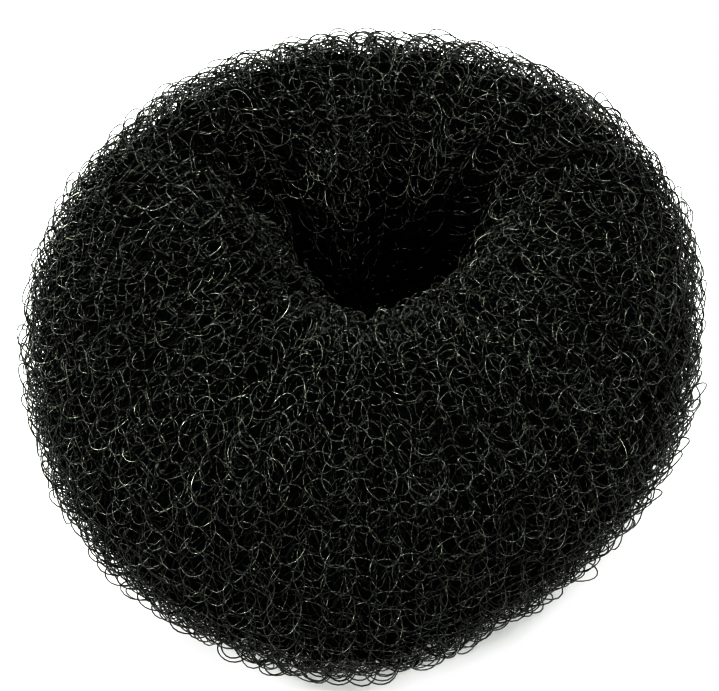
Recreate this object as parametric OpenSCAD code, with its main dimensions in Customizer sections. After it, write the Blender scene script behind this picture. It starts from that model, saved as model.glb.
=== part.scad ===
// Hair donut: a tube of springy knitted mesh, rolled up on itself into one soft thick ring.
// Lengths are in millimetres and angles in degrees. The ring lies on z = 0, with the middle of
// its box on the Z axis. Ring angles start at +X and pass +Y at 90; the front is at 270.
// Section angles start at the outside of the ring: 90 is the top, 180 the hole, 270 the base.

/* [Ring] */
// Width of the ring from side to side
ring_w = 85; // [70:1:102]
// Depth of the ring from front to back
ring_d = 84; // [70:1:101]
// Height of the ring as it lies
ring_h = 48; // [40:1:58]
// Width of the hole at its narrowest, with the ring at rest
hole_w = 9; // [7.5:0.5:11]
// How far the hole lies behind the middle of the ring
hole_shift = 3; // [0:0.5:3.5]
// How much the base is pressed flat where it rests
base_press = 0.6; // [0.3:0.1:1]
// Fullness of the section, where 2 is an ellipse and more is boxier
fullness = 2.15; // [1.9:0.05:2.5]

/* [Roll] */
// Thickness of the rolled band, which is two layers of knitted mesh
band_t = 4.4; // [3.6:0.1:5.3]
// Air between one turn of the band and the next
turn_gap = 1.4; // [1:0.1:1.8]
// Width of the open eye in the middle of the roll, at least
eye_w = 4; // [3:0.5:6]
// Section angle of the free edge of the band, low inside the hole
edge_at = 234; // [222:6:240]
// Section angle over which a turn steps down under the next one
step_over = 60; // [48:6:72]
// Section angle that the last, inmost turn covers
last_turn = 216; // [180:12:300]

/* [Hidden] */

mesh_black = [0.06, 0.06, 0.065];

// Shape round the ring, a row every 30 degrees. reach is the outline as a share of the plain
// oval, crest the height as a share of ring_h, and lip the hole's edge as a share of its radius.
REACH = 0;
CREST = 1;
LIP = 2;
STATION_STEP = 30;
STATIONS = [
    [1.01, 0.97, 1.6],
    [1.06, 0.96, 2.2],
    [1.02, 0.97, 2.2],
    [0.99, 0.98, 1.1],
    [0.98, 0.97, 1.3],
    [0.99, 0.98, 1.2],
    [0.99, 1.00, 1.0],
    [0.99, 1.00, 1.0],
    [1.00, 0.99, 1.0],
    [1.01, 0.98, 1.0],
    [0.93, 0.97, 1.1],
    [0.95, 0.97, 1.3]
];

// Folds that run out of the hole over the top. at is the ring angle of the fold's floor, before
// and after are how far its two sides reach, depth is a share of the section, negative for a
// swelling, and from and to are the section angles between which it lies.
AT = 0;
BEFORE = 1;
AFTER = 2;
DEPTH = 3;
FROM = 4;
TO = 5;
FOLDS = [
    [140, 38, 9, 0.30, 74, 215],
    [42, 50, 18, 0.20, 92, 240],
    [78, 16, 14, 0.05, 100, 215],
    [278, 12, 14, 0.06, 110, 220],
    [172, 26, 30, -0.06, 60, 200]
];
// How fast a fold reaches its full depth from its two ends
FOLD_RISE = 1.6;

// Ring angles of the sections, closer together over the steep fold at the back left
SECTIONS = [
    for (a = [0 : 8 : 112]) a,
    for (a = [116 : 4 : 160]) a,
    for (a = [168 : 8 : 352]) a
];
// Points round each turn of the band, from the outermost turn inwards
TURN_POINTS = [30, 18, 12, 10, 8, 8];
// How far the round tip of the band stands out past its end, as a section angle
TIP = 4;

// Middle height of the section as a share of ring_h
MIDDLE = 0.48;
section_r = (ring_w - hole_w) / 4;
wall_share = band_t / section_r;
pitch_share = (band_t + turn_gap) / section_r;
last = floor((section_r - band_t - eye_w / 2) / (band_t + turn_gap));

function smooth(t) = let (u = min(max(t, 0), 1)) u * u * (3 - 2 * u);
function turned(a) = (a + 540) % 360 - 180;
function power(v) = sign(v) * pow(abs(v), 2 / fullness);

// Smooth curve through the stations round the closed ring
function station(a, column) =
    let (
        n = len(STATIONS),
        u = a / STATION_STEP,
        i = floor(u),
        t = u - i,
        p0 = STATIONS[(i + n - 1) % n][column],
        p1 = STATIONS[i % n][column],
        p2 = STATIONS[(i + 1) % n][column],
        p3 = STATIONS[(i + 2) % n][column]
    )
    p1 + t * (p2 - p0 + t * (2 * p0 - 5 * p1 + 4 * p2 - p3 + t * (3 * p1 - p0 - 3 * p2 + p3))) / 2;

function outer_reach(a) = station(a, REACH) / norm([cos(a) * 2 / ring_w, sin(a) * 2 / ring_d]);

// Distance from the Z axis to the edge of the hole, whose middle is behind the axis
function inner_reach(a) =
    let (r = station(a, LIP) * hole_w / 2)
    hole_shift * sin(a) + sqrt(r * r - pow(hole_shift * cos(a), 2));

// Share of the section that is left at a ring angle and a section angle after the folds
function folded(a, s, i = 0) = i == len(FOLDS) ? 1 :
    let (
        f = FOLDS[i],
        across = turned(a - f[AT]),
        side = across < 0 ? f[BEFORE] : f[AFTER],
        along = abs(turned(s - (f[FROM] + f[TO]) / 2)) / (f[TO] - f[FROM]) * 2,
        cut = f[DEPTH] * smooth(1 - abs(across) / side) * smooth(FOLD_RISE * (1 - along))
    )
    folded(a, s, i + 1) - cut;

// A point of the section at ring angle a and section angle s, with size k from 0 to 1
function section_point(a, s, k) =
    let (
        r_out = outer_reach(a),
        r_in = inner_reach(a),
        z_mid = ring_h * MIDDLE,
        half_h = sin(s) > 0 ? ring_h * station(a, CREST) - z_mid : z_mid + base_press,
        size = k * folded(a, s),
        r = (r_out + r_in) / 2 + power(cos(s)) * size * (r_out - r_in) / 2,
        z = max(z_mid + power(sin(s)) * size * half_h, z_mid * (1 - k))
    )
    [r * cos(a), r * sin(a), z];

// Size of the band's outer side on turn j, w degrees after that turn began
function turn_size(j, w) = 1 - pitch_share * (j + smooth((w - 360 + step_over) / step_over));

function turn_angles(j, n) =
    let (end = j == last ? last_turn : 360)
    [for (i = [0 : n - 1]) if (i * 360 / n < end) i * 360 / n];

// One section of the whole band: down its outer side, round its inner tip and back outside
BAND = concat(
    [[edge_at - TIP, 1 - wall_share / 2]],
    [
        for (j = [0 : last])
        for (w = turn_angles(j, TURN_POINTS[j]))
        [edge_at + w, turn_size(j, w)]
    ],
    [[edge_at + last_turn + TIP, turn_size(last, last_turn) - wall_share / 2]],
    [
        for (j = [last : -1 : 0])
        let (angles = turn_angles(j, TURN_POINTS[j + 1]))
        for (i = [len(angles) - 1 : -1 : 0])
        [edge_at + angles[i], turn_size(j, angles[i]) - wall_share]
    ]
);

// Middle of the span of the points along one axis
function span_middle(points, axis) =
    let (values = [for (p = points) p[axis]])
    (min(values) + max(values)) / 2;

module rolled_mesh_ring() {
    m = len(BAND);
    n = len(SECTIONS);
    points = [for (a = SECTIONS) for (b = BAND) section_point(a, b[0], b[1])];
    off_centre = [span_middle(points, 0), span_middle(points, 1), 0];
    faces = [
        for (i = [0 : n - 1])
        for (j = [0 : m - 1])
        let (
            here = i * m,
            next = (i + 1) % n * m,
            j2 = (j + 1) % m
        )
        each [
            [here + j, here + j2, next + j2],
            [here + j, next + j2, next + j]
        ]
    ];
    color(mesh_black)
        translate(-off_centre)
        polyhedron(points = points, faces = faces, convexity = 12);
}

rolled_mesh_ring();
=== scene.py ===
"""Hair donut: a springy knitted mesh tube rolled into a thick black ring, on a pale floor.

Laid out as an add-on and run as a script. The ring's skin follows the same sections and folds as
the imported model. The knit over it is made a layer at a time, and each course is one closed
filament that Geometry Nodes lay over the skin, stitch by stitch. Lengths are in metres unless a
comment says mm.
"""
import math

import bpy
import numpy as np
from bpy.props import FloatProperty, FloatVectorProperty, IntProperty, PointerProperty
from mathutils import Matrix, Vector


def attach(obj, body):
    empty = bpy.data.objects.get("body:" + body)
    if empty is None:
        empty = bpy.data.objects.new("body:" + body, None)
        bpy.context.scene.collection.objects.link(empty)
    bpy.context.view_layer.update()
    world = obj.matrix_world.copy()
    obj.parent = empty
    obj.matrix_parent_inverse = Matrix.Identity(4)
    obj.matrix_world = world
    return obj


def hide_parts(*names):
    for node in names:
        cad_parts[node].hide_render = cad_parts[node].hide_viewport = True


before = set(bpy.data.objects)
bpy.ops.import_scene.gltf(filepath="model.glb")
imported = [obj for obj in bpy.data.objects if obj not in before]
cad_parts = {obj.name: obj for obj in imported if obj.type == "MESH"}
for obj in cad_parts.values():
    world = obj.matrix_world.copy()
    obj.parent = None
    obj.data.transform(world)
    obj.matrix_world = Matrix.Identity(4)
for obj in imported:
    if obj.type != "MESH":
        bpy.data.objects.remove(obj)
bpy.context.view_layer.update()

bl_info = {
    "name": "Knitted hair donut",
    "version": (1, 0, 0),
    "blender": (4, 5, 0),
    "location": "3D View > Sidebar > Hair donut",
    "description": "Builds a rolled ring of springy knitted mesh and a plain stage for it",
    "category": "Add Mesh",
}

NODE = "rolled_mesh_ring"
BODY = "root"
MM = 0.001

# The ring's shape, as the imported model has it. Lengths are in mm and angles in degrees.
RING_W = 85.0
RING_D = 84.0
RING_H = 48.0
HOLE_W = 9.0
HOLE_SHIFT = 3.0
BASE_PRESS = 0.6
FULLNESS = 2.15
BAND_T = 4.4
TURN_GAP = 1.4

# Where the band's free edge lies on the section, the turn over which the band steps down to pass
# under it, and the height of the section's middle as a share of the ring's.
EDGE_AT = 234.0
STEP_OVER = 60.0
MIDDLE = 0.48

# A row every 30 degrees round the ring: outline, height and edge of the hole, as shares of the
# plain sizes.
STATION_STEP = 30.0
STATIONS = np.array(
    [
        (1.01, 0.97, 1.6),
        (1.06, 0.96, 2.2),
        (1.02, 0.97, 2.2),
        (0.99, 0.98, 1.1),
        (0.98, 0.97, 1.3),
        (0.99, 0.98, 1.2),
        (0.99, 1.00, 1.0),
        (0.99, 1.00, 1.0),
        (1.00, 0.99, 1.0),
        (1.01, 0.98, 1.0),
        (0.93, 0.97, 1.1),
        (0.95, 0.97, 1.3),
    ],
    dtype=[("reach", float), ("crest", float), ("lip", float)],
)

# Folds that run out of the hole over the top: the place on the ring, the reach to each side, the
# depth as a share of the section, and the start and end on the section. One of them is a rise.
FOLDS = np.array(
    [
        (140, 38, 9, 0.30, 74, 215),
        (42, 50, 18, 0.20, 92, 240),
        (78, 16, 14, 0.05, 100, 215),
        (278, 12, 14, 0.06, 110, 220),
        (172, 26, 30, -0.06, 60, 200),
    ],
    dtype=[
        ("at", float),
        ("before", float),
        ("after", float),
        ("depth", float),
        ("start", float),
        ("end", float),
    ],
)

# How soon a fold reaches its full depth from its ends.
FOLD_RISE = 1.6

# The turn that the knit's skin is drawn for, in degrees: one round of the section, and the start
# of the next one, where the band tucks in under the free edge.
WOUND = 376.0

# Steps round the ring and round the section, in the knit's guide and in the core.
GUIDE_GRID = (240, 132)
CORE_GRID = (220, 96)

# The seed of the core's unevenness, and the least height of the core as a share of its depth.
CORE_SEED = 7
CORE_LIFT = 0.5

# The shape of a stitch: how far its head and foot are drawn out past a plain wave, how much more
# its head stands out than its foot, and how much stitches differ in size.
STITCH_DRAWN = 0.12
HEAD_SHARE = 0.1
SIZE_CHANCE = 0.1

# How far a crowded stitch is narrowed and shortened, and how much further it strays.
CROWD_NARROWS = 0.5
CROWD_SHORTENS = 0.7
CROWD_STRAYS = 2.0

# How much of the wander and of the swell goes outwards.
WANDER_OUT = 0.5
SWELL_OUT = 1.6

# Noise: the gain that brings it to mostly -1 to 1, its scale from stitch to stitch, the steps in
# it from wale to wale, from course to course and from seed to seed, and the scale of the swell.
NOISE_GAIN = 8.0
CHANCE_SCALE = 0.9
WALE_STEP = 2.0
COURSE_STEP = 1.7
SEED_STEP = 31.0
SWELL_SCALE = 160.0

# Sides of a filament, and the edge that each course keeps free on its strip of the map.
SIDES = 3
STRIP_EDGE = 0.1

# The nylon: index of refraction, tint of its gloss, scale of its darker streaks and their share of
# the plain colour, and scale and range of the streaks in its roughness.
NYLON_IOR = 1.53
NYLON_TINT = (0.93, 1.0, 0.87, 1)
STREAK_SCALE = 900.0
STREAK_DARK = 0.4
GLOSS_SCALE = 350.0
GLOSS_RANGE = 0.06

# The core's cells: scale, contrast and level, light and dark as shares of the filament's colour
# and of that light, and the depth and roughness of the surface.
CELL_SCALE = 1500.0
CELL_CONTRAST = 5.0
CELL_LEVEL = 2.4
CELL_LIGHT = 1.6
CELL_DARK = 0.3
CELL_DEPTH = 0.001
CORE_ROUGHNESS = 0.9

# Sockets of the mix node that carry colours.
MIX_FIRST, MIX_SECOND, MIX_RESULT = 6, 7, 2


def smooth(t):
    t = np.clip(t, 0, 1)
    return t * t * (3 - 2 * t)


def turned(a):
    return (a + 540) % 360 - 180


def power(v):
    return np.sign(v) * np.abs(v) ** (2 / FULLNESS)


def station(a, column):
    """Smooth curve through the stations round the closed ring."""
    values = STATIONS[column]
    n = len(values)
    u = a / STATION_STEP
    i = np.floor(u).astype(int)
    t = u - i
    p0, p1, p2, p3 = (values[(i + k) % n] for k in (-1, 0, 1, 2))
    rise = 2 * p0 - 5 * p1 + 4 * p2 - p3 + t * (3 * p1 - p0 - 3 * p2 + p3)
    return p1 + t * (p2 - p0 + t * rise) / 2


def outer_reach(a):
    c, s = np.cos(np.radians(a)), np.sin(np.radians(a))
    return station(a, "reach") / np.hypot(c * 2 / RING_W, s * 2 / RING_D)


def inner_reach(a):
    c, s = np.cos(np.radians(a)), np.sin(np.radians(a))
    r = station(a, "lip") * HOLE_W / 2
    return HOLE_SHIFT * s + np.sqrt(r * r - (HOLE_SHIFT * c) ** 2)


def folded(a, s):
    """Share of the section that the folds leave at ring angles a and section angles s."""
    left = 1.0
    for f in FOLDS:
        across = turned(a - f["at"])
        side = np.where(across < 0, f["before"], f["after"])
        half = (f["end"] - f["start"]) / 2
        along = np.abs(turned(s - (f["start"] + f["end"]) / 2)) / half
        reach = smooth(1 - np.abs(across) / side)
        left = left - f["depth"] * reach * smooth(FOLD_RISE * (1 - along))
    return left


def section_point(a, s, k):
    """Points at ring angles a and section angles s, with the section at size k, in mm."""
    r_out, r_in = outer_reach(a), inner_reach(a)
    z_mid = RING_H * MIDDLE
    up = np.sin(np.radians(s))
    half_h = np.where(up > 0, RING_H * station(a, "crest") - z_mid, z_mid + BASE_PRESS)
    size = k * folded(a, s)
    r = (r_out + r_in) / 2 + power(np.cos(np.radians(s))) * size * (r_out - r_in) / 2
    z = np.maximum(z_mid + power(up) * size * half_h, z_mid * (1 - k))
    return np.stack([r * np.cos(np.radians(a)), r * np.sin(np.radians(a)), z], -1)


def wound_size(w):
    """Size of the band's outer side, w degrees on from its free edge."""
    pitch = (BAND_T + TURN_GAP) * 4 / (RING_W - HOLE_W)
    return 1 - pitch * smooth((w - 360 + STEP_OVER) / STEP_OVER)


def skin_grid(rounds, steps, wound):
    """A grid of skin points in mm, rounds about the ring by steps about the section."""
    a = np.linspace(0, 360, rounds + 1)[:, None] + np.zeros((1, steps + 1))
    w = np.linspace(0, wound, steps + 1)[None, :] + np.zeros((rounds + 1, 1))
    points = section_point(a, EDGE_AT + w, wound_size(w))
    middle = (points[..., :2].min((0, 1)) + points[..., :2].max((0, 1))) / 2
    points[..., :2] -= middle
    return points


def directions(points):
    """Unit vectors at each grid point: outwards, and along the ring."""
    around = np.gradient(points, axis=0)
    around[0] = around[-1] = points[1] - points[-2]
    over = np.gradient(points, axis=1)
    outward = np.cross(around, over)
    for v in (around, outward):
        v /= np.linalg.norm(v, axis=-1, keepdims=True)
    return outward, around


class Wire:
    """A node socket that Python's operators work on. Each adds the node that it stands for."""

    def __init__(self, net, socket):
        self.net = net
        self.socket = socket
        self.vector = socket.type in ("VECTOR", "RGBA")

    def join(self, op, other, swapped=False):
        a, b = (other, self) if swapped else (self, other)
        if not any(getattr(v, "vector", isinstance(v, tuple)) for v in (a, b)):
            return self.net.math(op, a, b)
        if op == "MULTIPLY":
            for one, two in ((a, b), (b, a)):
                if not getattr(two, "vector", isinstance(two, tuple)):
                    scale = {"Vector": one, "Scale": two}
                    return self.net.out("ShaderNodeVectorMath", {"operation": "SCALE"}, scale)
        return self.net.vector_math(op, a, b)

    def __add__(self, other):
        return self.join("ADD", other)

    def __radd__(self, other):
        return self.join("ADD", other, True)

    def __sub__(self, other):
        return self.join("SUBTRACT", other)

    def __rsub__(self, other):
        return self.join("SUBTRACT", other, True)

    def __mul__(self, other):
        return self.join("MULTIPLY", other)

    def __rmul__(self, other):
        return self.join("MULTIPLY", other, True)

    def __truediv__(self, other):
        return self.join("DIVIDE", other)

    def __rtruediv__(self, other):
        return self.join("DIVIDE", other, True)


class Net:
    """A node tree, with one method that adds any node."""

    def __init__(self, tree):
        self.tree = tree

    def add(self, kind, settings=None, inputs=None):
        """Adds a node, sets its settings and then its sockets, which are named or numbered."""
        node = self.tree.nodes.new(kind)
        for name, value in (settings or {}).items():
            setattr(node, name, value)
        for key, value in (inputs or {}).items():
            socket = node.inputs[key]
            if isinstance(value, Wire):
                self.tree.links.new(value.socket, socket)
            else:
                socket.default_value = value
        return node

    def wire(self, node, output=0):
        return Wire(self, node.outputs[output])

    def out(self, kind, settings=None, inputs=None, output=0):
        """The same as add, but gives one of the node's outputs."""
        return self.wire(self.add(kind, settings, inputs), output)

    def math(self, op, *values):
        return self.out("ShaderNodeMath", {"operation": op}, dict(enumerate(values)))

    def vector_math(self, op, *values):
        return self.out("ShaderNodeVectorMath", {"operation": op}, dict(enumerate(values)))

    def parts(self, vector):
        """The three numbers of a vector."""
        node = self.add("ShaderNodeSeparateXYZ", inputs={"Vector": vector})
        return [self.wire(node, i) for i in range(3)]

    def whole(self, x, y, z=0.0):
        """A vector of three numbers."""
        return self.out("ShaderNodeCombineXYZ", inputs={"X": x, "Y": y, "Z": z})

    def colours(self, amount, dark, light):
        """Two colours, mixed by an amount from 0 to 1."""
        node = self.add("ShaderNodeMix", {"data_type": "RGBA"}, {"Factor": amount})
        node.inputs[MIX_FIRST].default_value = (*dark, 1)
        node.inputs[MIX_SECOND].default_value = (*light, 1)
        return self.wire(node, MIX_RESULT)


SOCKETS = {
    "geometry": "NodeSocketGeometry",
    "count": "NodeSocketInt",
    "size": "NodeSocketFloat",
    "finish": "NodeSocketMaterial",
}


def new_geometry_net(name, inputs):
    """A Geometry Nodes tree with named inputs, and the wires that come from them."""
    tree = bpy.data.node_groups.new(name, "GeometryNodeTree")
    tree.interface.new_socket("Geometry", in_out="OUTPUT", socket_type=SOCKETS["geometry"])
    for label, kind in inputs.items():
        tree.interface.new_socket(label, in_out="INPUT", socket_type=SOCKETS[kind])
    net = Net(tree)
    source = net.add("NodeGroupInput")
    return net, {label: Wire(net, source.outputs[label]) for label in inputs}


def finish_net(net, shape, material):
    """Ends a Geometry Nodes tree: real geometry, with its material."""
    solid = net.out("GeometryNodeRealizeInstances", inputs={"Geometry": shape})
    dressed = net.out(
        "GeometryNodeSetMaterial", inputs={"Geometry": solid, "Material": material}
    )
    sink = net.add("NodeGroupOutput")
    net.tree.links.new(dressed.socket, sink.inputs[0])


def made_by(net, name, start_mesh, values):
    """Runs a Geometry Nodes tree on a start mesh and gives the result as a plain object."""
    worker = bpy.data.objects.new(name + "_start", start_mesh)
    bpy.context.scene.collection.objects.link(worker)
    modifier = worker.modifiers.new("Build", "NODES")
    modifier.node_group = net.tree
    for item in net.tree.interface.items_tree:
        if item.in_out == "INPUT" and item.name in values:
            modifier[item.identifier] = values[item.name]
    depsgraph = bpy.context.evaluated_depsgraph_get()
    mesh = bpy.data.meshes.new_from_object(worker.evaluated_get(depsgraph))
    bpy.data.objects.remove(worker)
    mesh.name = name
    piece = bpy.data.objects.new(name, mesh)
    bpy.context.scene.collection.objects.link(piece)
    if not mesh.polygons:
        raise RuntimeError(f"{name} came out empty")
    return piece


def seat(piece):
    """Says what the piece belongs to."""
    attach(piece, BODY)


def guide_mesh():
    """The skin as an open grid with a UV map and its directions, for the knit to follow."""
    rounds, steps = GUIDE_GRID
    points = skin_grid(rounds, steps, WOUND)
    outward, around = directions(points)
    index = np.arange((rounds + 1) * (steps + 1)).reshape(rounds + 1, steps + 1)
    quads = np.stack([index[:-1, :-1], index[1:, :-1], index[1:, 1:], index[:-1, 1:]], -1)
    quads = quads.reshape(-1, 4)
    mesh = bpy.data.meshes.new("skin_guide")
    mesh.from_pydata((points * MM).reshape(-1, 3).tolist(), [], quads.tolist())
    for name, values in (("outward", outward), ("around", around)):
        layer = mesh.attributes.new(name, "FLOAT_VECTOR", "POINT")
        layer.data.foreach_set("vector", values.astype(np.float32).ravel())
    reach = np.linalg.norm(np.gradient(points, axis=0), axis=-1)
    spread = np.minimum(reach / reach.mean(0).max(), 1).astype(np.float32)
    layer = mesh.attributes.new("spread", "FLOAT", "POINT")
    layer.data.foreach_set("value", spread.ravel())
    places = np.stack(np.divmod(index, steps + 1), -1) / (rounds, steps)
    corners = places.reshape(-1, 2)[quads.ravel()]
    mesh.uv_layers.new(name="UVMap").data.foreach_set("uv", corners.astype(np.float32).ravel())
    return mesh


def knit_net():
    """The tree that knits a layer: closed courses of stitches laid over the skin."""
    net, given = new_geometry_net(
        "knit_layer",
        {
            "Skin": "geometry",
            "Wales": "count",
            "Points": "count",
            "First course": "count",
            "Courses": "count",
            "All courses": "count",
            "Course shift": "size",
            "Wale shift": "size",
            "Share": "size",
            "Inset": "size",
            "Loop width": "size",
            "Loop height": "size",
            "Loop depth": "size",
            "Loop lean": "size",
            "Crimp": "size",
            "Wander": "size",
            "Swell": "size",
            "Swell scale": "size",
            "Filament": "size",
            "Seed": "count",
            "Finish": "finish",
        },
    )
    skin = given["Skin"]
    per_course = given["Wales"] * given["Points"]
    course_curve = net.out(
        "GeometryNodeCurvePrimitiveCircle", {"mode": "RADIUS"}, {"Resolution": per_course}
    )
    courses = net.out(
        "GeometryNodeDuplicateElements",
        {"domain": "SPLINE"},
        {"Geometry": course_curve, "Amount": given["Courses"]},
    )
    index = net.out("GeometryNodeInputIndex")
    course = net.math("FLOOR", (index + 0.5) / per_course)
    place = index - course * per_course
    row = course + given["First course"]
    angle = (place / given["Points"] + given["Wale shift"]) * math.tau
    along = place / per_course
    up = (row + 0.5 + given["Course shift"]) / given["All courses"]

    def stored(name, kind="FLOAT_VECTOR"):
        return net.out("GeometryNodeInputNamedAttribute", {"data_type": kind}, {"Name": name})

    def on_skin(value, kind="FLOAT_VECTOR"):
        """A value of the skin, read at each point's place on its map."""
        inputs = {
            "Mesh": skin,
            "Value": value,
            "Source UV Map": stored("UVMap"),
            "Sample UV": net.whole(along, up),
        }
        return net.out("GeometryNodeSampleUVSurface", {"data_type": kind}, inputs)

    spot = on_skin(net.out("GeometryNodeInputPosition"))
    outward = net.vector_math("NORMALIZE", on_skin(stored("outward")))
    around = net.vector_math("NORMALIZE", on_skin(stored("around")))
    over = net.vector_math("CROSS_PRODUCT", outward, around)
    room = on_skin(stored("spread", "FLOAT"), "FLOAT") / given["Share"]
    crowding = 1.0 - net.math("MINIMUM", room, 1.0)

    # Chance is read on a circle, so that it closes where the course does.
    round_angle = along * math.tau
    reach = given["Wales"] * WALE_STEP / math.tau
    chance_at = net.whole(
        net.math("COSINE", round_angle) * reach,
        net.math("SINE", round_angle) * reach,
        row * COURSE_STEP + given["Seed"] * SEED_STEP,
    )

    def drift(shift):
        """A smooth chance vector, mostly from -1 to 1, that differs from stitch to stitch."""
        where = {"Vector": chance_at + shift, "Scale": CHANCE_SCALE, "Detail": 1.0}
        noise = net.out("ShaderNodeTexNoise", inputs=where, output="Color")
        return (noise - (0.5, 0.5, 0.5)) * NOISE_GAIN

    where = {"Vector": spot, "Scale": given["Swell scale"], "Detail": 1.0}
    wave = net.out("ShaderNodeTexNoise", inputs=where, output="Color") - (0.5, 0.5, 0.5)
    wave_x, wave_y, wave_z = net.parts(wave * NOISE_GAIN)
    push_x, push_y, push_z = net.parts(drift((0.0, 0.0, 0.0)))
    grow_x, grow_y, lean = net.parts(drift((5.3, 7.1, 900.0)))
    sway = net.parts(drift((61.0, 3.7, 400.0)))[0]

    # A stitch is a loop that is narrow at its waist and stands out at its head and foot.
    bend = net.math("COSINE", angle)
    double = angle * 2.0
    x = given["Loop width"] * (grow_x * SIZE_CHANCE + 1.0) * net.math("SINE", double)
    tall = bend + net.math("COSINE", angle * 3.0) * STITCH_DRAWN
    y = given["Loop height"] * (grow_y * SIZE_CHANCE + 1.0) * tall
    level = net.math("COSINE", double) * (1.0 - HEAD_SHARE) + bend * HEAD_SHARE
    tilt = lean * bend + sway * net.math("SINE", angle)
    z = given["Loop depth"] * level + given["Loop lean"] * tilt
    z = z + given["Crimp"] * net.math("SINE", angle * 4.0)

    stray = given["Wander"] * (crowding * CROWD_STRAYS + 1.0)
    x = x * (1.0 - crowding * CROWD_NARROWS) + stray * push_x + given["Swell"] * wave_x
    y = y * (1.0 - crowding * CROWD_SHORTENS) + stray * push_y + given["Swell"] * wave_y
    z = z + given["Wander"] * push_z * WANDER_OUT + given["Swell"] * wave_z * SWELL_OUT
    z = z - given["Inset"]
    place_x, place_y, place_z = net.parts(spot + around * x + over * y + outward * z)
    on_floor = net.whole(place_x, place_y, net.math("MAXIMUM", place_z, given["Filament"]))
    laid = net.out(
        "GeometryNodeSetPosition", inputs={"Geometry": courses, "Position": on_floor}
    )
    saved = net.add("GeometryNodeCaptureAttribute", inputs={"Geometry": laid})
    for label, wire in (("Along", along), ("Row", course)):
        saved.capture_items.new("FLOAT", label)
        net.tree.links.new(wire.socket, saved.inputs[label])
    ring = net.out(
        "GeometryNodeCurvePrimitiveCircle",
        {"mode": "RADIUS"},
        {"Resolution": SIDES, "Radius": given["Filament"]},
    )
    saved_ring = net.add("GeometryNodeCaptureAttribute", inputs={"Geometry": ring})
    saved_ring.capture_items.new("FLOAT", "Side")
    net.tree.links.new(index.socket, saved_ring.inputs["Side"])
    tube = net.out(
        "GeometryNodeCurveToMesh",
        inputs={"Curve": net.wire(saved, "Geometry"), "Profile Curve": net.wire(saved_ring)},
    )
    side_step = (1.0 - 2 * STRIP_EDGE) / (SIDES - 1)
    across = net.wire(saved, "Row") + STRIP_EDGE + net.wire(saved_ring, "Side") * side_step
    mapped = net.out(
        "GeometryNodeStoreNamedAttribute",
        {"data_type": "FLOAT2", "domain": "CORNER"},
        {
            "Geometry": tube,
            "Name": "OFBake",
            "Value": net.whole(net.wire(saved, "Along"), across / given["Courses"]),
        },
    )
    rounded = net.out("GeometryNodeSetShadeSmooth", inputs={"Geometry": mapped})
    finish_net(net, rounded, given["Finish"])
    return net


def new_material(name):
    """A material with nodes, its net and its main shader."""
    material = bpy.data.materials.new(name)
    material.use_nodes = True
    net = Net(material.node_tree)
    return material, net, material.node_tree.nodes["Principled BSDF"]


def filament_material(name, settings, gloss):
    """Glossy black nylon filament, with slight streaks of tone and gloss."""
    material, net, skin = new_material(name)
    place = net.out("ShaderNodeTexCoord", output="Object")
    tone = net.out(
        "ShaderNodeTexNoise", inputs={"Vector": place, "Scale": STREAK_SCALE, "Detail": 2.0}
    )
    light = tuple(settings.filament_colour)
    dark = tuple(c * STREAK_DARK for c in light)
    net.tree.links.new(net.colours(tone, dark, light).socket, skin.inputs["Base Color"])
    streak = net.out(
        "ShaderNodeTexNoise", inputs={"Vector": place, "Scale": GLOSS_SCALE, "Detail": 1.0}
    )
    rough = streak * GLOSS_RANGE + (settings.filament_roughness - GLOSS_RANGE / 2)
    net.tree.links.new(rough.socket, skin.inputs["Roughness"])
    skin.inputs["IOR"].default_value = NYLON_IOR
    # The gloss given is lower for deeper layers: painted shade for the layers over them.
    skin.inputs["Specular IOR Level"].default_value = gloss
    skin.inputs["Specular Tint"].default_value = NYLON_TINT
    return material


def core_material(settings):
    """The deep turns of the roll: packed black filament, seen only between the loops, in painted
    shade.
    """
    material, net, skin = new_material("packed_filament_shade")
    place = net.out("ShaderNodeTexCoord", output="Object")
    cells = net.out(
        "ShaderNodeTexNoise", inputs={"Vector": place, "Scale": CELL_SCALE, "Detail": 1.0}
    )
    light = tuple(c * CELL_LIGHT for c in settings.filament_colour)
    dark = tuple(c * CELL_DARK for c in light)
    spots = cells * CELL_CONTRAST - CELL_LEVEL
    net.tree.links.new(net.colours(spots, dark, light).socket, skin.inputs["Base Color"])
    bump = net.out(
        "ShaderNodeBump", inputs={"Height": cells, "Strength": 0.8, "Distance": CELL_DEPTH}
    )
    net.tree.links.new(bump.socket, skin.inputs["Normal"])
    skin.inputs["Roughness"].default_value = CORE_ROUGHNESS
    # No gloss on the core: the packed filament is painted in shade, as matte black.
    skin.inputs["Specular IOR Level"].default_value = 0.0
    return material


class RollSettings(bpy.types.PropertyGroup):
    """Sizes of the roll under the knit."""

    core_depth: FloatProperty(
        name="Core depth",
        description="How far under the skin the packed core of the roll begins",
        default=0.0027,
        unit="LENGTH",
        subtype="DISTANCE",
    )
    core_rough: FloatProperty(
        name="Core unevenness",
        description="How far the packed core is uneven",
        default=0.0006,
        unit="LENGTH",
        subtype="DISTANCE",
    )


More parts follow.
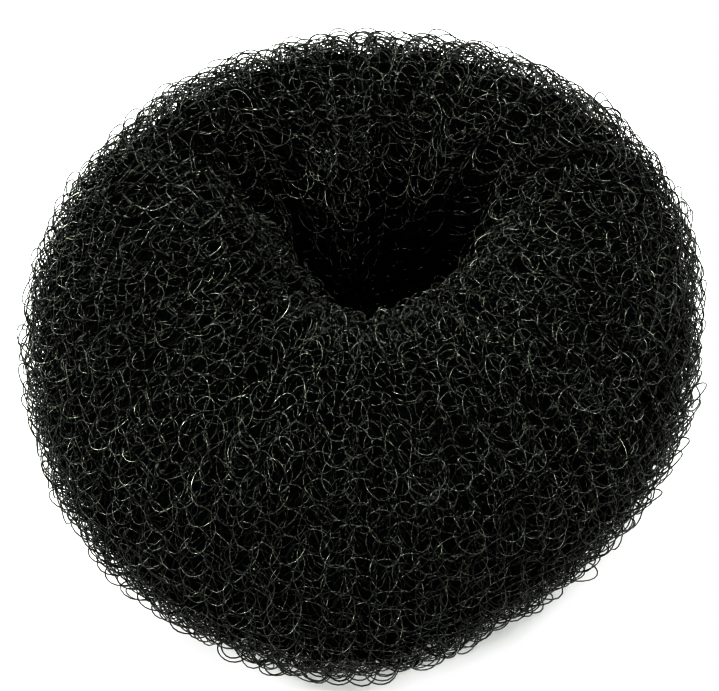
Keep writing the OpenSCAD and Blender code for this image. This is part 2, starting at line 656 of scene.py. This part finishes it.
class KnitSettings(bpy.types.PropertyGroup):
    """Sizes and colour of the knit."""

    wales: IntProperty(name="Wales", description="Stitches round the ring", default=44, min=12)
    courses: IntProperty(
        name="Courses", description="Rows of stitches round the section", default=46, min=12
    )
    filament_d: FloatProperty(
        name="Filament",
        description="Thickness of the nylon filament",
        default=0.00016,
        unit="LENGTH",
        subtype="DISTANCE",
    )
    loop_width: FloatProperty(
        name="Loop width",
        description="Swing of a stitch to each side",
        default=0.00115,
        unit="LENGTH",
        subtype="DISTANCE",
    )
    loop_height: FloatProperty(
        name="Loop height",
        description="Half of a stitch's height",
        default=0.0039,
        unit="LENGTH",
        subtype="DISTANCE",
    )
    loop_depth: FloatProperty(
        name="Loop depth",
        description="How far the head and foot of a stitch stand out past its waist",
        default=0.0008,
        unit="LENGTH",
        subtype="DISTANCE",
    )
    loop_lean: FloatProperty(
        name="Loop lean",
        description="How far the head of a stitch leans out or in by chance",
        default=0.0003,
        unit="LENGTH",
        subtype="DISTANCE",
    )
    crimp: FloatProperty(
        name="Crimp",
        description="How far the filament bends over and under the ones it crosses",
        default=0.0001,
        unit="LENGTH",
        subtype="DISTANCE",
    )
    wander: FloatProperty(
        name="Wander",
        description="How far a stitch strays from its place by chance",
        default=0.00015,
        unit="LENGTH",
        subtype="DISTANCE",
    )
    swell: FloatProperty(
        name="Swell",
        description="Size of the soft lumps that all layers share",
        default=0.00025,
        unit="LENGTH",
        subtype="DISTANCE",
    )
    filament_colour: FloatVectorProperty(
        name="Filament colour",
        description="Colour of the nylon filament",
        default=(0.003, 0.0036, 0.0027),
        subtype="COLOR",
        min=0.0,
        max=1.0,
    )
    filament_roughness: FloatProperty(
        name="Filament roughness",
        description="Roughness of the filament's gloss",
        default=0.11,
        subtype="FACTOR",
        min=0.0,
        max=1.0,
    )


class StageSettings(bpy.types.PropertyGroup):
    """Floor, lights and camera."""

    floor_colour: FloatVectorProperty(
        name="Floor",
        description="Colour of the floor",
        default=(0.29, 0.29, 0.29),
        subtype="COLOR",
        min=0.0,
        max=1.0,
    )
    camera_rise: FloatProperty(
        name="Camera elevation",
        description="Angle of the camera above the floor",
        default=math.radians(55),
        subtype="ANGLE",
    )
    camera_distance: FloatProperty(
        name="Camera distance",
        description="From the camera to the middle of the ring",
        default=0.38,
        unit="LENGTH",
        subtype="DISTANCE",
    )
    lens: FloatProperty(
        name="Lens",
        description="Focal length on a sensor 36 mm wide",
        default=151.8,
        unit="CAMERA",
    )


# Points of the picture's tone curve, from what the light gives to what is shown. The floor turns
# white, and the dark filament keeps its depth.
TONE = (
    (0.015, 0.0042),
    (0.03, 0.0105),
    (0.06, 0.027),
    (0.1, 0.065),
    (0.15, 0.14),
    (0.22, 0.32),
    (0.29, 0.62),
    (0.35, 0.9),
    (0.42, 1.0),
)

# The curve that acts on all three colours.
TONE_CURVE = 3

# The layers of the knit: points of a stitch, depth under the skin, shift as shares of a course and
# of a wale, seed and gloss. The gloss falls from layer to layer inwards as painted shade, for the
# layers above that shade the deeper ones.
LAYERS = {
    "outer": (30, 0.0007, (0.0, 0.0), 11, 0.6),
    "middle": (24, 0.0011, (0.5, 0.5), 37, 0.5),
    "inner": (20, 0.0018, (0.25, 0.25), 83, 0.4),
    "deep": (16, 0.0024, (0.75, 0.25), 59, 0.3),
}

# The pieces of each layer from its base on: the course that each ends before, and the share of
# the wales that the gathered hole leaves there.
PIECES = {
    "outer": {
        "base": (15, 1),
        "crown": (23, 1),
        "brow": (28, 0.82),
        "lip": (33, 0.55),
        "hole": (46, 0.46),
    },
    "middle": {"outside": (16, 1), "inside": (24, 1), "lip": (30, 0.64), "throat": (44, 0.46)},
    "inner": {"turn": (22, 1), "lip": (32, 0.41)},
    "deep": {"turn": (22, 1), "lip": (32, 0.41)},
}

# Half the floor's width, and its roughness.
FLOOR_HALF = 0.7
FLOOR_ROUGH = 0.9

# The lamps are small round areas, so that each gives a filament a short glint: place, width and
# watts. They all point at one spot.
LAMPS = {
    "low left": ((-0.86, -0.35, 0.37), 0.25, 6.2),
    "left": ((-0.76, 0.02, 0.65), 0.25, 7.0),
    "far left": ((-0.62, 0.45, 0.62), 0.25, 5.0),
    "near left": ((-0.6, -0.75, 0.3), 0.25, 4.0),
    "back left": ((-0.3, 0.33, 0.88), 0.25, 3.2),
    "back right": ((0.3, 0.33, 0.88), 0.25, 3.2),
    "far right": ((0.62, 0.45, 0.62), 0.25, 3.6),
    "right": ((0.76, 0.02, 0.65), 0.25, 4.5),
    "low right": ((0.86, -0.35, 0.37), 0.25, 4.2),
    "near right": ((0.6, -0.75, 0.3), 0.25, 3.2),
    "front": ((0.0, -0.84, 0.68), 0.3, 3.4),
    "overhead": ((0.05, -0.3, 0.95), 0.25, 4.0),
}
LAMP_AIM = (0, 0, 0.02)

# The world lights the ring dimly, and shows pale behind the floor.
WORLD_LIGHT = (0.064, 0.08, 0.054)
WORLD_SEEN = (0.5, 0.5, 0.5)

# The camera's sensor in mm, and the shift that sets the ring in the picture.
SENSOR_W = 36.0
CAMERA_SHIFT = (-0.0076, 0.005)


class HAIRDONUT_OT_core(bpy.types.Operator):
    """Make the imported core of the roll, which stands for the whole soft ring"""

    bl_idname = "hairdonut.core"
    bl_label = "Roll core"

    def execute(self, context):
        roll = context.scene.hair_donut_roll
        rounds, steps = CORE_GRID
        points = skin_grid(rounds, steps, 360)
        outward, _ = directions(points)
        chance = np.random.default_rng(CORE_SEED).normal(size=(rounds + 1, steps + 1, 1))
        chance[:, -1] = chance[:, 0]
        depth = (roll.core_depth + roll.core_rough * chance) / MM
        inset = (points - outward * depth)[:-1]
        inset[..., 2] = np.maximum(inset[..., 2], roll.core_depth / MM * CORE_LIFT)
        count = inset.shape[1]
        index = np.arange(rounds * count).reshape(rounds, count)
        after = np.roll(index, -1, axis=0)
        quads = np.stack(
            [index, after, np.roll(after, -1, axis=1), np.roll(index, -1, axis=1)], -1
        )
        mesh = bpy.data.meshes.new("roll_core")
        mesh.from_pydata((inset * MM).reshape(-1, 3).tolist(), [], quads.reshape(-1, 4).tolist())
        mesh.shade_smooth()
        mesh.materials.append(core_material(context.scene.hair_donut_knit))
        core = bpy.data.objects.new("roll_core", mesh)
        context.scene.collection.objects.link(core)
        seat(core)
        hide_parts(NODE)
        return {"FINISHED"}


class HAIRDONUT_OT_knit(bpy.types.Operator):
    """Knit the outer turn of the roll, a layer at a time, in bands from its base to its hole"""

    bl_idname = "hairdonut.knit"
    bl_label = "Knitted layers"

    def execute(self, context):
        knit = context.scene.hair_donut_knit
        net = knit_net()
        guide = guide_mesh()
        for layer, (points, inset, shifts, seed, gloss) in LAYERS.items():
            # Each layer gets its own copy of the nylon, with less gloss further in as painted
            # shade.
            finish = filament_material(f"nylon_filament_{layer}", knit, gloss)
            first = 0
            for part, (last, share) in PIECES[layer].items():
                values = {
                    "Wales": round(knit.wales * share),
                    "Points": points,
                    "First course": first,
                    "Courses": last - first,
                    "All courses": knit.courses,
                    "Course shift": shifts[0],
                    "Wale shift": shifts[1],
                    "Share": share,
                    "Inset": inset,
                    "Loop width": knit.loop_width,
                    "Loop height": knit.loop_height,
                    "Loop depth": knit.loop_depth,
                    "Loop lean": knit.loop_lean,
                    "Crimp": knit.crimp,
                    "Wander": knit.wander,
                    "Swell": knit.swell,
                    "Swell scale": SWELL_SCALE,
                    "Filament": knit.filament_d / 2,
                    "Seed": seed,
                    "Finish": finish,
                }
                seat(made_by(net, f"knit_{layer}_{part}", guide, values))
                first = last
        return {"FINISHED"}


class HAIRDONUT_OT_stage(bpy.types.Operator):
    """Lay the pale floor, hang the small lamps, light the world and set the camera"""

    bl_idname = "hairdonut.stage"
    bl_label = "Stage"

    def execute(self, context):
        scene = context.scene
        stage = scene.hair_donut_stage
        mesh = bpy.data.meshes.new("floor")
        half = FLOOR_HALF
        corners = [(-half, -half, 0), (half, -half, 0), (half, half, 0), (-half, half, 0)]
        mesh.from_pydata(corners, [], [(0, 1, 2, 3)])
        material, _, skin = new_material("floor_paper")
        skin.inputs["Base Color"].default_value = (*stage.floor_colour, 1)
        skin.inputs["Roughness"].default_value = FLOOR_ROUGH
        mesh.materials.append(material)
        floor = bpy.data.objects.new("floor", mesh)
        scene.collection.objects.link(floor)

        for name, (place, size, watts) in LAMPS.items():
            light = bpy.data.lights.new(name, "AREA")
            light.shape = "DISK"
            light.size = size
            light.energy = watts
            lamp = bpy.data.objects.new(name, light)
            lamp.location = place
            aim = Vector(LAMP_AIM) - Vector(place)
            lamp.rotation_euler = aim.to_track_quat("-Z", "Y").to_euler()
            scene.collection.objects.link(lamp)

        world = bpy.data.worlds.new("studio")
        world.use_nodes = True
        air = Net(world.node_tree)
        seen = air.out("ShaderNodeLightPath", output="Is Camera Ray")
        shade = air.colours(seen, WORLD_LIGHT, WORLD_SEEN)
        air.tree.links.new(shade.socket, air.tree.nodes["Background"].inputs["Color"])
        scene.world = world

        view = scene.view_settings
        view.view_transform = "Standard"
        view.use_curve_mapping = True
        for given, shown in TONE:
            point = view.curve_mapping.curves[TONE_CURVE].points.new(given, shown)
            point.handle_type = "AUTO_CLAMPED"
        view.curve_mapping.update()

        camera = bpy.data.cameras.new("camera")
        camera.lens = stage.lens
        camera.sensor_width = SENSOR_W
        camera.shift_x, camera.shift_y = CAMERA_SHIFT
        eye = bpy.data.objects.new("camera", camera)
        rise = stage.camera_rise
        target = Vector((0.0, 0.0, RING_H * MM / 2))
        way = Vector((0, -math.cos(rise), math.sin(rise)))
        eye.location = target + way * stage.camera_distance
        eye.rotation_euler = (math.pi / 2 - rise, 0, 0)
        scene.collection.objects.link(eye)
        scene.camera = eye
        return {"FINISHED"}


class HAIRDONUT_PT_panel(bpy.types.Panel):
    """The steps that build the hair donut"""

    bl_label = "Hair donut"
    bl_space_type = "VIEW_3D"
    bl_region_type = "UI"
    bl_category = "Hair donut"

    def draw(self, context):
        layout = self.layout
        for group in GROUPS:
            settings = getattr(context.scene, group)
            for name in settings.bl_rna.properties.keys():
                if name not in ("rna_type", "name"):
                    layout.prop(settings, name)
        for operator in OPERATORS:
            layout.operator(operator.bl_idname)


GROUPS = {
    "hair_donut_roll": RollSettings,
    "hair_donut_knit": KnitSettings,
    "hair_donut_stage": StageSettings,
}
OPERATORS = (HAIRDONUT_OT_stage, HAIRDONUT_OT_core, HAIRDONUT_OT_knit)
CLASSES = (*GROUPS.values(), *OPERATORS, HAIRDONUT_PT_panel)


def register():
    for cls in CLASSES:
        bpy.utils.register_class(cls)
    for name, group in GROUPS.items():
        setattr(bpy.types.Scene, name, PointerProperty(type=group))


def unregister():
    for name in GROUPS:
        delattr(bpy.types.Scene, name)
    for cls in reversed(CLASSES):
        bpy.utils.unregister_class(cls)


def main():
    register()
    bpy.ops.hairdonut.stage()
    bpy.ops.hairdonut.core()
    bpy.ops.hairdonut.knit()


if __name__ == "__main__":
    main()
